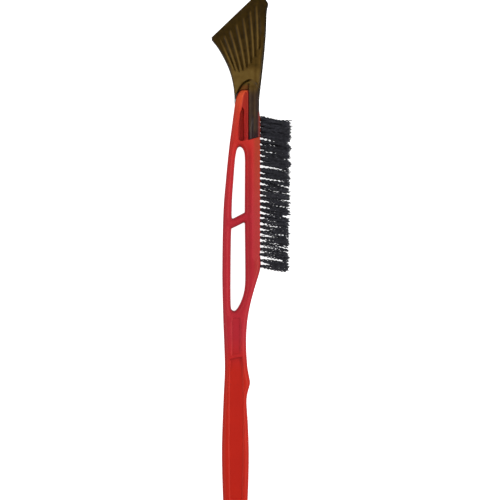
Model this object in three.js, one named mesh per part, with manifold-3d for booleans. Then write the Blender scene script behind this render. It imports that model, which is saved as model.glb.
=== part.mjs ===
// A 660 mm windscreen snow brush with an ice scraper blade, lying on its back face.
// Plan frame while building: X runs from the butt of the grip to the blade, Y across (bristles towards -Y),
// and Z is measured from the middle plane, because front and back are mirror images. Millimetres.
import * as THREE from 'three';
import { mergeVertices } from 'three/addons/utils/BufferGeometryUtils.js';
import Module from 'manifold-3d';

const wasm = await Module();
wasm.setup();

// Overall sizes
const LENGTH = 660;
const HALF_DEPTH = 12;
const GAP = 0.3;
const EDGE_ROUND = 4;
const ROUND_STEPS = 2;
const HANG_HOLE = { x: 11, y: -0.4, radius: 4.2, edgeRound: 1.2 };
const FAR = 80;

// Bristle field
const TUFT_ROWS = 27;
const TUFTS_ACROSS = 3;
const TUFT_PITCH = 7.2;
const TUFT_SPACING_Z = 6;
const FIRST_TUFT_X = 313.3;
const RAIL_FACE_Y = -31.5;
const BRISTLE_TRIM = 37.3;
const BRISTLE_TILT = THREE.MathUtils.degToRad(9);
const HOLE_RADIUS = 2.4;
const HOLE_DEPTH = 12;
const TUFT_SIDES = 6;
const TUFT_TIP_RADIUS = 3.4;
const TUFT_TIP_STRETCH_Z = 1.1;

// Blade: the cutting edge is a straight line at about 46 degrees to the handle
const EDGE_LEFT = new THREE.Vector2(601.2, 31.1);
const EDGE_RIGHT = new THREE.Vector2(LENGTH, -30);
const EDGE_HALF_THICKNESS = 0.35;
const LAND_WIDTH = 6.8;
const LAND_HALF_THICKNESS = 1.7;
const WEDGE_LENGTH = 62;
const COLLAR_HALF_DEPTH = 11.6;

// Ribs that fan out from the collar towards the cutting edge
const RIB_COUNT = 7;
const RIB_WIDTH = 1.6;
const RIB_HEIGHT = 0.9;
const RIB_LENGTH = 75;
const RIB_BOW = 1.5;
const RIB_STEPS = 6;
const RIB_LAST_X = 636;
const FIRST_RIB_Y = 4.2;
const RIB_PITCH_Y = 5.42;
const COLLAR_END = { x: 562, middleY: -4, bend: 0.047 };
const LAST_RIB_ANGLE = 2.4;
const RIB_FAN_ANGLE = 21.9;
const RIB_FAN_POWER = 1.3;

// Joint between the blade head and the handle
const TONGUE_INNER_Z = 9.9;
const TONGUE_BASE_Z = 11.3;
const TONGUE_RIB_WIDTH = 2;
const TONGUE_RIB_Y = [-20, -26.2];
const NECK_HALF_DEPTH = 8.5;
const SIDE_WALL_INNER_Y = -28.3;
const SIDE_WALL_START_X = 508.2;
const TONGUE = { startX: 472, slantedX: 477.5, endX: 552, leftY: -16.9, rightY: -29.4 };
const TONGUE_RIB_FROM_X = 478;
const TONGUE_RIB_TO_X = 546;
const TIP_X = 535.6;
const TENON = { fromX: 530, toX: 557, lowY: -25, highY: -8, halfDepth: 5 };

// Colours
const RED = 0xb02630;
const AMBER = 0x4a3818;
const BLACK = 0x1e1e22;

// ---------- shapes and solids ----------

/** A plan outline from [x, y] points, turned into a closed shape. */
function polygon(points) {
  return new THREE.Shape(points.map(([x, y]) => new THREE.Vector2(x, y)));
}

/** Adds a smooth stretch through [x, y] points to a shape or path. */
function smoothThrough(path, points) {
  path.splineThru(points.map(([x, y]) => new THREE.Vector2(x, y)));
}

/** Solids joined into one. */
function joinAll(solids) {
  return solids.reduce((joined, solid) => joined.add(solid));
}

/** A list of make(0), make(1) and so on. */
function repeat(count, make) {
  return Array.from({ length: count }, (_, index) => make(index));
}

/** A closed three.js geometry as a solid that can be joined and cut. */
function solidOf(geometry) {
  const bare = geometry.clone();
  bare.deleteAttribute('normal');
  bare.deleteAttribute('uv');
  const merged = mergeVertices(bare, 1e-3);
  const corners = merged.index.array;
  const kept = [];
  for (let i = 0; i < corners.length; i += 3) {
    const triangle = corners.slice(i, i + 3);
    if (new Set(triangle).size === 3) {
      kept.push(...triangle);
    }
  }
  const mesh = new wasm.Mesh({
    numProp: 3,
    vertProperties: new Float32Array(merged.attributes.position.array),
    triVerts: new Uint32Array(kept),
  });
  return new wasm.Manifold(mesh);
}

/** A solid's triangles as a three.js geometry. */
function geometryOf(solid) {
  const { vertProperties, triVerts } = solid.getMesh();
  const geometry = new THREE.BufferGeometry();
  geometry.setAttribute('position', new THREE.BufferAttribute(vertProperties, 3));
  geometry.setIndex(new THREE.BufferAttribute(triVerts, 1));
  geometry.computeVertexNormals();
  return geometry;
}

/** A straight-sided solid of a plan shape between two heights. */
function prism(shape, lowZ, highZ, curveSegments = 3) {
  const geometry = new THREE.ExtrudeGeometry(shape, {
    depth: highZ - lowZ,
    bevelEnabled: false,
    curveSegments,
  });
  geometry.translate(0, 0, lowZ);
  return solidOf(geometry);
}

/** A plan shape about the middle plane with its front and back edges rounded. */
function roundedPrism(shape, halfDepth, radius, curveSegments = 2) {
  const geometry = new THREE.ExtrudeGeometry(shape, {
    depth: 2 * (halfDepth - radius),
    bevelThickness: radius,
    bevelSize: radius,
    bevelOffset: -radius,
    bevelSegments: ROUND_STEPS,
    curveSegments,
  });
  geometry.translate(0, 0, radius - halfDepth);
  return solidOf(geometry);
}

/** The same plan shape on the front and on the back, from innerZ outwards. */
function onBothFaces(shape, innerZ, outerZ) {
  return prism(shape, innerZ, outerZ).add(prism(shape, -outerZ, -innerZ));
}

/** A named mesh with its own material. */
function part(name, solid, material) {
  const mesh = new THREE.Mesh(geometryOf(solid), new THREE.MeshStandardMaterial(material));
  mesh.name = name;
  return mesh;
}

// ---------- handle ----------

/** The handle's outer outline: grip, finger bump, neck, brush rail and the tip that the head grips. */
function handleOutline() {
  const shape = new THREE.Shape();
  shape.moveTo(0, 0);
  smoothThrough(shape, [[1.4, 9], [6.5, 13.9], [17, 15.3], [79.6, 16.8], [141, 14.9], [181, 13.1]]);
  smoothThrough(shape, [[213, 13.8], [249, 15.2], [307, 16.3], [379, 15], [424, 11.6], [462.5, 7.7]]);
  smoothThrough(shape, [[493, 3.7], [519, 0.2], [527, -1.2], [532.4, -4], [535, -7.6], [TIP_X, -12]]);
  shape.lineTo(TIP_X, SIDE_WALL_INNER_Y + GAP);
  shape.lineTo(SIDE_WALL_START_X - GAP, SIDE_WALL_INNER_Y + GAP);
  shape.lineTo(SIDE_WALL_START_X - GAP, RAIL_FACE_Y);
  shape.lineTo(328, RAIL_FACE_Y);
  smoothThrough(shape, [[318, -32.4], [310, -31.8], [302.5, -30], [287, -25.3], [272, -21.1], [257, -17.7]]);
  smoothThrough(shape, [[238, -15], [213, -14], [187, -15.4], [174.2, -17.3], [165, -18.7], [155, -17.5]]);
  smoothThrough(shape, [[147, -15.2], [137, -14.6], [110, -16.3], [80, -17.4], [48, -17.1], [17, -15.9]]);
  smoothThrough(shape, [[6.5, -14.4], [1.4, -9.4], [0, 0]]);
  return shape;
}

/** The window nearest the blade, with a slanted lower end. */
function upperWindow() {
  const path = new THREE.Path();
  path.moveTo(382, -12);
  path.lineTo(447, -12.4);
  smoothThrough(path, [[457, -11.6], [463, -9], [464.8, -5.8], [463.6, -3.4], [459, -1.6]]);
  smoothThrough(path, [[447, 0.3], [424, 2.1], [402, 3.7], [386, 4.3]]);
  path.lineTo(376, 4.4);
  smoothThrough(path, [[373.8, 3.6], [374.2, 1.4]]);
  path.lineTo(381, -11);
  path.lineTo(382, -12);
  return path;
}

/** The window nearest the grip, which narrows to a round end. */
function lowerWindow() {
  const path = new THREE.Path();
  path.moveTo(367, -12.2);
  smoothThrough(path, [[335, -12.5], [301, -12.7], [288, -12.3], [279.6, -11], [272, -8.8], [264.4, -5.6]]);
  smoothThrough(path, [[258.4, -1.8], [256.4, 1.2], [257.6, 4], [262, 5.5]]);
  smoothThrough(path, [[285, 5.9], [330, 5.6], [358, 5]]);
  smoothThrough(path, [[361, 3.8], [362.4, 1]]);
  path.lineTo(368.6, -10.6);
  path.lineTo(367, -12.2);
  return path;
}

/** A round hole near the butt to hang the brush by. */
function hangHole() {
  const path = new THREE.Path();
  path.absarc(HANG_HOLE.x, HANG_HOLE.y, HANG_HOLE.radius, 0, 2 * Math.PI);
  return path;
}

/** One panel sunk by a depth into both faces, from its [x, y] corners. */
function sunkPanel(depth, corners) {
  return onBothFaces(polygon(corners), HALF_DEPTH - depth, FAR);
}

/** The panels sunk into the front and back faces. */
function sunkPanels() {
  return joinAll([
    sunkPanel(2.2, [[511, -6], [511, -13], [474, -14.2], [472, -12.5], [472, -6.6], [474, -4.8]]),
    sunkPanel(1.6, [[248, 2], [248, -4.6], [244, -6.6], [204, -6.2], [201, 3.4], [244, 3.8]]),
    sunkPanel(1.4, [[196, 3], [199, -6.4], [176, -6.8], [170, -1.5], [176, 3.4]]),
    sunkPanel(0.8, [[150, 4.4], [150, -8.6], [90, -9.8], [28, -9.2], [28, 5.2], [90, 5.6]]),
  ]);
}

/** Where the root of a tuft meets the rail's face. */
function tuftBase(row, across) {
  const z = (across - (TUFTS_ACROSS - 1) / 2) * TUFT_SPACING_Z;
  return new THREE.Vector3(FIRST_TUFT_X + row * TUFT_PITCH, RAIL_FACE_Y, z);
}

/** Turns a solid built along +Y to point along the bristles, with its y = 0 at a tuft's base. */
function alongBristles(geometry, base) {
  geometry.rotateZ(Math.PI - BRISTLE_TILT);
  geometry.translate(base.x, base.y, base.z);
  return solidOf(geometry);
}

/** One blind hole for a tuft, which starts outside the rail's face. */
function tuftHole(base) {
  const outside = 6;
  const cylinder = new THREE.CylinderGeometry(HOLE_RADIUS, HOLE_RADIUS, HOLE_DEPTH + outside, TUFT_SIDES);
  cylinder.translate(0, (outside - HOLE_DEPTH) / 2, 0);
  return alongBristles(cylinder, base);
}

/** The holes side by side across the rail that hold one row of tufts. */
function tuftHoleRow(row) {
  return joinAll(repeat(TUFTS_ACROSS, (across) => tuftHole(tuftBase(row, across))));
}

/** The handle's tenon, grown by a clearance for the socket that receives it. */
function tenon(clearance) {
  const { fromX, toX, lowY, highY, halfDepth } = TENON;
  const low = lowY - clearance;
  const high = highY + clearance;
  const end = toX + clearance;
  const shape = polygon([[fromX, low], [end, low], [end, high], [fromX, high]]);
  return prism(shape, -halfDepth - clearance, halfDepth + clearance);
}

/** A slab wider than the handle with one hole through it, whose front and back edges are rounded. */
function slabWith(hole, edgeRound, curveSegments) {
  const slab = polygon([[-FAR, -FAR], [LENGTH + FAR, -FAR], [LENGTH + FAR, FAR], [-FAR, FAR]]);
  slab.holes.push(hole);
  return roundedPrism(slab, HALF_DEPTH, edgeRound, curveSegments);
}

function makeHandle() {
  return roundedPrism(handleOutline(), HALF_DEPTH, EDGE_ROUND)
    .intersect(slabWith(upperWindow(), EDGE_ROUND, 2))
    .intersect(slabWith(lowerWindow(), EDGE_ROUND, 2))
    .intersect(slabWith(hangHole(), HANG_HOLE.edgeRound, 7))
    .subtract(sunkPanels())
    .subtract(onBothFaces(tongueOutline(GAP), TONGUE_INNER_Z - GAP, FAR))
    .add(tenon(0))
    .subtract(joinAll(repeat(TUFT_ROWS, tuftHoleRow)));
}

// ---------- scraper head ----------

/** Unit vector from the cutting edge towards the handle, square to the edge. */
function edgeNormal() {
  const along = EDGE_RIGHT.clone().sub(EDGE_LEFT).normalize();
  return new THREE.Vector2(along.y, -along.x);
}

/** The head's outline: flared blade, slanted cutting edge, clipped corner and the two legs of the collar. */
function headOutline() {
  const shape = new THREE.Shape();
  shape.moveTo(519, 0.8);
  smoothThrough(shape, [[528.6, 1], [543.8, 2.7], [559, 6.3], [574.3, 12.8], [589.5, 21.5], [598.6, 28.7]]);
  shape.quadraticCurveTo(EDGE_LEFT.x, EDGE_LEFT.y, EDGE_LEFT.x + 2, EDGE_LEFT.y - 2.08);
  shape.lineTo(EDGE_RIGHT.x, EDGE_RIGHT.y);
  shape.lineTo(LENGTH - 0.4, -33);
  shape.lineTo(647.5, -41.2);
  shape.quadraticCurveTo(645.4, -42.4, 643, -41.6);
  smoothThrough(shape, [[635, -40.1], [609, -38.6], [585.7, -36.7], [559, -33.8], [528.6, -30.4]]);
  shape.lineTo(SIDE_WALL_START_X, -30.2);
  shape.lineTo(SIDE_WALL_START_X, SIDE_WALL_INNER_Y);
  shape.lineTo(543, SIDE_WALL_INNER_Y);
  smoothThrough(shape, [[548.6, -23.9], [549.6, -17.5], [547.6, -12.4], [541.2, -7.4], [536.8, -4.2]]);
  smoothThrough(shape, [[528.4, -0.3], [519, 0.8]]);
  return shape;
}

/** A wedge that thickens away from the cutting edge, its faces lifted by a given height. */
function wedge(lift) {
  const profile = polygon([
    [-1, -EDGE_HALF_THICKNESS - lift],
    [LAND_WIDTH, -LAND_HALF_THICKNESS - lift],
    [WEDGE_LENGTH, -COLLAR_HALF_DEPTH],
    [2 * FAR, -COLLAR_HALF_DEPTH],
    [2 * FAR, COLLAR_HALF_DEPTH],
    [WEDGE_LENGTH, COLLAR_HALF_DEPTH],
    [LAND_WIDTH, LAND_HALF_THICKNESS + lift],
    [-1, EDGE_HALF_THICKNESS + lift],
  ]);
  const geometry = new THREE.ExtrudeGeometry(profile, { depth: 4 * FAR, bevelEnabled: false });
  geometry.translate(0, 0, -2 * FAR);
  const normal = edgeNormal();
  const inward = new THREE.Vector3(normal.x, normal.y, 0);
  const up = new THREE.Vector3(0, 0, 1);
  const frame = new THREE.Matrix4().makeBasis(inward, up, inward.clone().cross(up));
  frame.setPosition(EDGE_LEFT.x, EDGE_LEFT.y, 0);
  geometry.applyMatrix4(frame);
  return solidOf(geometry);
}

/** One of the ribs that fan out from the collar, as a gently curved strip in plan. */
function ribStrip(index) {
  const startY = FIRST_RIB_Y - RIB_PITCH_Y * index;
  const startX = COLLAR_END.x + COLLAR_END.bend * (startY - COLLAR_END.middleY) ** 2;
  const start = new THREE.Vector2(startX, startY);
  const turn = (1 - index / (RIB_COUNT - 1)) ** RIB_FAN_POWER;
  const angle = THREE.MathUtils.degToRad(LAST_RIB_ANGLE + RIB_FAN_ANGLE * turn);
  const heading = new THREE.Vector2(Math.cos(angle), Math.sin(angle));
  const middle = start.clone().addScaledVector(heading, RIB_LENGTH / 2);
  const bowed = new THREE.Vector2(middle.x, middle.y - RIB_BOW);
  const end = start.clone().addScaledVector(heading, RIB_LENGTH);
  const line = new THREE.QuadraticBezierCurve(start, bowed, end);
  const side = (offset) => repeat(RIB_STEPS + 1, (step) => {
    const point = line.getPoint(step / RIB_STEPS);
    const tangent = line.getTangent(step / RIB_STEPS);
    return [point.x - tangent.y * offset, point.y + tangent.x * offset];
  });
  return polygon([...side(-RIB_WIDTH / 2), ...side(RIB_WIDTH / 2).reverse()]);
}

/** All the ribs, cut to the plain land that runs along the cutting edge. */
function ribs() {
  const strips = repeat(RIB_COUNT, (index) => prism(ribStrip(index), -FAR, FAR));
  const landEnd = EDGE_LEFT.clone().addScaledVector(edgeNormal(), LAND_WIDTH);
  const slope = (EDGE_RIGHT.y - EDGE_LEFT.y) / (EDGE_RIGHT.x - EDGE_LEFT.x);
  const onLandLine = (x) => [x, landEnd.y + slope * (x - landEnd.x)];
  const lowX = TIP_X - FAR;
  const field = polygon([onLandLine(lowX), onLandLine(RIB_LAST_X), [RIB_LAST_X, -FAR], [lowX, -FAR]]);
  return joinAll(strips).intersect(prism(field, -FAR, FAR));
}

/** The tongue that reaches down each face of the handle, grown by a clearance for its seat. */
function tongueOutline(clearance) {
  const { startX, slantedX, endX, leftY, rightY } = TONGUE;
  const left = leftY + clearance;
  const right = rightY - clearance;
  return polygon([[startX - clearance, left], [endX, left], [endX, right], [slantedX - clearance, right]]);
}

/** Two raised lines along each tongue. */
function tongueRibs() {
  const fromX = TONGUE_RIB_FROM_X;
  const toX = TONGUE_RIB_TO_X;
  return joinAll(TONGUE_RIB_Y.map((y) => {
    const low = y - TONGUE_RIB_WIDTH / 2;
    const high = y + TONGUE_RIB_WIDTH / 2;
    const strip = polygon([[fromX, low], [toX, low], [toX, high], [fromX, high]]);
    return onBothFaces(strip, TONGUE_INNER_Z, HALF_DEPTH);
  }));
}

/** The lower-level neck between the collar and the end of the handle. */
function neck() {
  const shape = polygon([
    [TIP_X + GAP, SIDE_WALL_INNER_Y - 1],
    [TONGUE.endX, SIDE_WALL_INNER_Y - 1],
    [TONGUE.endX, -8],
    [540, -5],
    [533.4, -3.4],
    [TIP_X + GAP, -7.4],
  ]);
  return prism(shape, -NECK_HALF_DEPTH, NECK_HALF_DEPTH);
}

function makeHead() {
  const body = prism(headOutline(), -FAR, FAR);
  return body.intersect(wedge(0))
    .add(ribs().intersect(body).intersect(wedge(RIB_HEIGHT)))
    .add(onBothFaces(tongueOutline(0), TONGUE_INNER_Z, TONGUE_BASE_Z))
    .add(tongueRibs())
    .add(neck())
    .subtract(tenon(GAP));
}

// ---------- bristles ----------

/** One tuft: a straight root in its hole, then bristles that spread towards their tips. */
function tuft(base) {
  const rootRadius = HOLE_RADIUS - GAP;
  const profile = [
    new THREE.Vector2(0, GAP - HOLE_DEPTH),
    new THREE.Vector2(rootRadius, GAP - HOLE_DEPTH),
    new THREE.Vector2(rootRadius, 0.5),
    new THREE.Vector2(TUFT_TIP_RADIUS, BRISTLE_TRIM * 0.6),
    new THREE.Vector2(TUFT_TIP_RADIUS, BRISTLE_TRIM),
    new THREE.Vector2(0, BRISTLE_TRIM),
  ];
  const lathe = new THREE.LatheGeometry(profile, TUFT_SIDES);
  const positions = lathe.attributes.position;
  for (let i = 0; i < positions.count; i += 1) {
    const spread = THREE.MathUtils.clamp(positions.getY(i) / BRISTLE_TRIM, 0, 1);
    positions.setZ(i, positions.getZ(i) * (1 + (TUFT_TIP_STRETCH_Z - 1) * spread));
  }
  return alongBristles(lathe, base);
}

/** The tufts side by side across the rail, whose bristles run together towards their tips. */
function makeTuftRow(row) {
  return joinAll(repeat(TUFTS_ACROSS, (across) => tuft(tuftBase(row, across))));
}

// ---------- assembly ----------

const group = new THREE.Group();
group.add(part('handle', makeHandle(), { color: RED, roughness: 0.42, metalness: 0 }));
group.add(part('scraper_head', makeHead(), { color: AMBER, roughness: 0.15, metalness: 0 }));
for (let row = 0; row < TUFT_ROWS; row += 1) {
  const name = `tuft_row_${String(row + 1).padStart(2, '0')}`;
  group.add(part(name, makeTuftRow(row), { color: BLACK, roughness: 0.6, metalness: 0 }));
}

// The origin is the middle of the object's box, on the surface that it lies on.
const box = new THREE.Box3().setFromObject(group, true);
const middle = box.getCenter(new THREE.Vector3());
group.position.set(-middle.x, -middle.y, -box.min.z);

export default group;
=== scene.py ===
"""A windscreen snow brush with an ice scraper head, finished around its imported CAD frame.

Shapes are worked out in a plan frame in millimetres: X from the butt of the grip to the blade, Y across
with the bristles towards -Y, and Z from the middle plane, because the two faces are mirror images. Plain
numbers in the functions that shape or paint a face are places and widths in that frame, or shares.
"""

import math
import random

import bpy
import numpy as np
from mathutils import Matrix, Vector
from mathutils.geometry import delaunay_2d_cdt


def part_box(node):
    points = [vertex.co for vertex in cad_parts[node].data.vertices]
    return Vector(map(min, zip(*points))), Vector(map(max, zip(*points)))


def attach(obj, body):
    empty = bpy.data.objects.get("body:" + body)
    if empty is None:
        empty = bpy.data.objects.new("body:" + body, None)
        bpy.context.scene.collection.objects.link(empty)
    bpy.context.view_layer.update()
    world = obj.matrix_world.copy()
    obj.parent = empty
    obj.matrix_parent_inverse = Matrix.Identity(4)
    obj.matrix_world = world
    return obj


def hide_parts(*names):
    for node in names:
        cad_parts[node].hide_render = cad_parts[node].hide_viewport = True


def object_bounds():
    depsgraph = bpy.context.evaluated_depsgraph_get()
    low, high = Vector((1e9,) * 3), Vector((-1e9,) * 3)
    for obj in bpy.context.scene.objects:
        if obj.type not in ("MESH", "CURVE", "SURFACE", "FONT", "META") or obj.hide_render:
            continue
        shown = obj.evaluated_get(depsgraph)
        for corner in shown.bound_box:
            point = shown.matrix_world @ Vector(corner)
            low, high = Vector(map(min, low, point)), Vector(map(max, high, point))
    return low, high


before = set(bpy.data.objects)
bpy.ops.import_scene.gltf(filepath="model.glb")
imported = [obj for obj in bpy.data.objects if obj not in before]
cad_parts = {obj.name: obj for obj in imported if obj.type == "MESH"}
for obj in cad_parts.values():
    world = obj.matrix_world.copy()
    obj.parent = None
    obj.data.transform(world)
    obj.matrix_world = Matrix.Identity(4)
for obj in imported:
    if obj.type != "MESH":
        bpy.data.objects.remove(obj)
cad_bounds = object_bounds()

MM = 0.001

# Clearance between pieces that fit together
GAP = 0.3

# Handle
LENGTH = 660.0
HALF_DEPTH = 12.0
GRIP_HALF_WIDTH = 16.8
RAIL_FACE_Y = -31.5
TIP_X = 535.6
TENON = {"from_x": 530.0, "to_x": 557.0, "low_y": -25.0, "high_y": -8.0, "half_depth": 5.0}
HANG_HOLE = {"x": 11.0, "y": -0.4, "radius": 4.2}
RIM_ROUNDING = {"width": 6.5, "depth": 7.5}
FLANK_ROUNDING = {"width": 1.2, "depth": 0.8}
FLANK_SLOPE = {"width": 10.5, "depth": 1.9}
WINDOW_ROUNDING = {"width": 4.4, "depth": 8.5}
WINDOW_SLOPE = {"width": 9.0, "depth": 2.3}
HANG_ROUNDING = {"width": 1.4, "depth": 1.4}
RAIL_CREST_Y = -21.6

# Head
EDGE_LEFT = np.array([601.8, 31.9])
EDGE_RIGHT = np.array([LENGTH, -29.0])
EDGE_HALF_DEPTH = 0.35
LAND_WIDTH = 6.8
LAND_HALF_DEPTH = 1.7
WEDGE_LENGTH = 62.0
COLLAR_HALF_DEPTH = 11.6
NECK_HALF_DEPTH = 8.5
THINNEST = 0.3
SIDE_WALL_START_X = 508.2
SIDE_WALL_INNER_Y = -28.3
EDGE_CORNER = 2.2
MOAT_DEPTH = 1.2

# How the head thins towards its flanks, with the depth as a share of its thickness
LEFT_ROUNDING = {"width": 1.8, "depth": 0.4}
RIGHT_ROUNDING = {"width": 3.4, "depth": 0.6}

# The ribs fan out from the collar's curved end, and the hollows between them deepen towards it.
RIB_COUNT = 7
RIB_LENGTH = 75.0
RIB_MIDDLE = 35.0
RIB_BOW = np.array([0, -1.5])
RIB_ROOT = -0.13
FIRST_RIB_Y = 4.2
RIB_PITCH_Y = 5.42
LAST_RIB_ANGLE = 2.4
RIB_FAN_ANGLE = 21.9
RIB_FAN_POWER = 1.3
RIB_CREST = 0.5
RIB_FOOT = 2.4
FLUTE_DEPTH = 0.55
FLUTE_DEEPENING = 0.042
COLLAR_END = {"x": 562.0, "middle_y": -4.0, "curve": 0.047}
FLUTE_END = {"x": 556.5, "middle_y": -3.0, "curve": 0.038}

# The tongue lies on the handle's face, and its right edge steps out over the rail below the side wall.
TONGUE_START_X = 471.7
TONGUE_SLANTED_X = 475.8
TONGUE_TOP_X = 541.0
TONGUE_END_X = 543.0
TONGUE_LEFT_Y = -16.9
TONGUE_STEP_Y = -29.4
TONGUE_RIGHT_Y = -30.6
TONGUE_INNER_Z = 9.9
TONGUE_BASE_Z = 11.2
TONGUE_LINES_Y = (-18.4, -24.6)
TONGUE_GROOVE_Y = -21.9
TONGUE_GROOVE_TOP_X = 506.0
TONGUE_RIDGE_HEIGHT = 0.7
TONGUE_GROOVE_DEPTH = 0.9
TONGUE_RIM = {"width": 1.3, "depth": 0.9}
TONGUE_TOP_DROP = 2.6

# Bristles
TUFT_ROWS = 27
TUFTS_ACROSS = 3
TUFT_PITCH = 7.2
TUFT_SPACING_Z = 6.0
FIRST_TUFT_X = 313.3
SHORTEST_TRIM = 34.2
LONGEST_TRIM = 36.8
BRISTLE_TILT = math.radians(9)
HOLE_RADIUS = 2.4
HOLE_DEPTH = 12.0
HOLE_CUTTER_OUTSIDE = 6.0
CLUMPS_PER_TUFT = 9
FILAMENTS_PER_CLUMP = 5
FILAMENT_RADIUS = 0.26
FILAMENT_STEPS = 24
CRIMP_PITCH = 4.8
TIP_SPREAD = 1.3
LEAN_CURVE = 1.3
FILAMENT_START = 1.2 - HOLE_DEPTH
CRIMP_FULL_FROM = 5.0

# The rows nearest the blade crowd together. A pair of numbers is for the open rows and for the last one.
CROWDED_FROM_ROW = 21
SPLAY = (0.6, 0.15)
LOOSENESS = (0.3, 1.5)
CROWDED_LEAN = 2.6
FIRST_ROW_LEAN = -1.8
FIRST_SEED = 1000

# How the clumps of a tuft, and the filaments of a clump, differ from each other. STRAY is a standard
# deviation, REACH is the most they can be off, and other pairs of numbers are the lowest and the highest.
CLUMP_ROOT_REACH = HOLE_RADIUS - GAP - FILAMENT_RADIUS - 0.2
CLUMP_LEAN_STRAY = (2.3, 0.7)
CLUMP_BOW_STRAY = 1.1
CLUMP_TRIM_STRAY = 1.0
CLUMP_CRIMP = (0.45, 0.95)
CLUMP_PITCH = (0.85 * CRIMP_PITCH, 1.25 * CRIMP_PITCH)
ROOT_REACH = 0.24
LEAN_REACH = 0.55
CRIMP_STRAY = 0.08
CRIMP_ACROSS_REACH = 0.2
PHASE_STRAY = 0.06
TRIM_STRAY = 1.3

# Anchors
ANCHOR_DEPTH = HOLE_DEPTH - 2.0
ANCHOR_HEIGHT = 2.0
ANCHOR_THICKNESS = 0.5

# Camera
CAMERA_OVER = (333.6, -18.8)
VIEW_WIDTH = 635.0

# The plan frame's origin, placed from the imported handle
handle_low, handle_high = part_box("handle")
ORIGIN = Vector(
    (handle_low.x, handle_high.y - GRIP_HALF_WIDTH * MM, (handle_low.z + handle_high.z) / 2)
)


# ---------- plan curves ----------


def smooth_curve(points, step=1.5):
    """Points about a step apart on a Catmull-Rom curve through given points."""
    p = np.array(points, float)
    p = np.vstack([p[0], p, p[-1]])
    made = []
    for a, b, c, d in zip(p[:-3], p[1:-2], p[2:-1], p[3:]):
        count = max(2, math.ceil(np.linalg.norm(c - b) / step))
        t = np.linspace(0, 1, count, endpoint=False)[:, None]
        square = (2 * a - 5 * b + 4 * c - d) * t**2
        cube = (3 * b - a - 3 * c + d) * t**3
        made.append(0.5 * (2 * b + (c - a) * t + square + cube))
    return np.vstack([*made, p[-1:]])


def closed_loop(*stretches, step=1.5):
    """One closed loop from stretches that follow each other, with straight lines between them."""
    points = np.vstack(stretches)
    made = []
    for a, b in zip(points, np.roll(points, -1, axis=0)):
        length = np.linalg.norm(b - a)
        if length < 1e-6:
            continue
        count = max(1, round(length / step))
        made.append(a + (b - a) * np.linspace(0, 1, count, endpoint=False)[:, None])
    return np.vstack(made)


def circle(x, y, radius, count=32):
    """A closed loop round a point."""
    turn = np.linspace(0, 2 * math.pi, count, endpoint=False)
    return np.column_stack([x + radius * np.cos(turn), y + radius * np.sin(turn)])


def sideways(loop):
    """A unit vector square to a closed loop at each of its points."""
    tangent = np.roll(loop, -1, axis=0) - np.roll(loop, 1, axis=0)
    tangent /= np.linalg.norm(tangent, axis=1)[:, None]
    return np.stack([-tangent[:, 1], tangent[:, 0]], 1)


def distance_to_line(points, line, closed=False):
    """Each point's distance to a polyline."""
    a = line if closed else line[:-1]
    b = np.roll(line, -1, axis=0) if closed else line[1:]
    nearest = np.full(len(points), np.inf)
    for start in range(0, len(points), 2000):
        p = points[start : start + 2000, None, :]
        ab = (b - a)[None]
        along = ((p - a) * ab).sum(2) / np.maximum((ab**2).sum(2), 1e-12)
        off = p - (a + np.clip(along, 0, 1)[..., None] * ab)
        nearest[start : start + 2000] = np.sqrt((off**2).sum(2).min(1))
    return nearest


def inside(points, loop):
    """True for each point inside a closed loop."""
    x, y = points[:, 0], points[:, 1]
    found = np.zeros(len(points), bool)
    for (x0, y0), (x1, y1) in zip(loop, np.roll(loop, -1, axis=0)):
        if y0 == y1:
            continue
        crosses = (y0 > y) != (y1 > y)
        found ^= crosses & (x < (x1 - x0) * (y - y0) / (y1 - y0) + x0)
    return found


def within(points, loops):
    """True for each point inside the first loop and outside the others."""
    region = inside(points, loops[0])
    for hole in loops[1:]:
        region &= ~inside(points, hole)
    return region


def depth_inside(points, loop):
    """Distance inside a closed loop, negative outside it."""
    return distance_to_line(points, loop, closed=True) * np.where(inside(points, loop), 1, -1)


def rise(value, start, end):
    """0 before start, 1 past end, and a smooth step between. An end below start makes it run downwards."""
    t = np.clip((value - start) / (end - start), 0, 1)
    return t * t * (3 - 2 * t)


def blend(ends, share):
    """The first of two numbers at a share of 0, the second at 1."""
    return ends[0] + (ends[1] - ends[0]) * share


def bell(offset, width):
    """1 in the middle and fading out on both sides."""
    return np.exp(-((offset / width) ** 2))


def rounded_drop(distance, width, depth):
    """How far a surface has dropped near an edge that is rounded over by a quarter ellipse."""
    t = 1 - np.clip(distance / width, 0, 1)
    return depth * (1 - np.sqrt(np.clip(1 - t * t, 0, 1)))


# ---------- meshes ----------


def new_piece(name, vertices, faces, material, smooth_angle=35):
    """A mesh object from plan coordinates in millimetres."""
    mesh = bpy.data.meshes.new(name)
    placed = np.asarray(vertices, float) * MM + np.array(ORIGIN)
    mesh.from_pydata(placed.tolist(), [], [tuple(map(int, f)) for f in faces])
    mesh.validate()
    mesh.shade_smooth()
    mesh.set_sharp_from_angle(angle=math.radians(smooth_angle))
    piece = bpy.data.objects.new(name, mesh)
    bpy.context.scene.collection.objects.link(piece)
    if material is not None:
        mesh.materials.append(material)
    return piece


def surface_samples(loops, rings, extra):
    """Plan points within a region: rings in from every loop, and extra ones where it needs detail."""
    samples = [np.asarray(points, float) for points in extra]
    for loop in loops:
        normal = sideways(loop)
        for ring in rings:
            samples += [loop + normal * ring, loop - normal * ring]
    free = np.vstack(samples)
    free = free[within(free, loops)]
    clearance = np.min([distance_to_line(free, loop, closed=True) for loop in loops], axis=0)
    return free[clearance > 0.9 * min(rings)]


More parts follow.
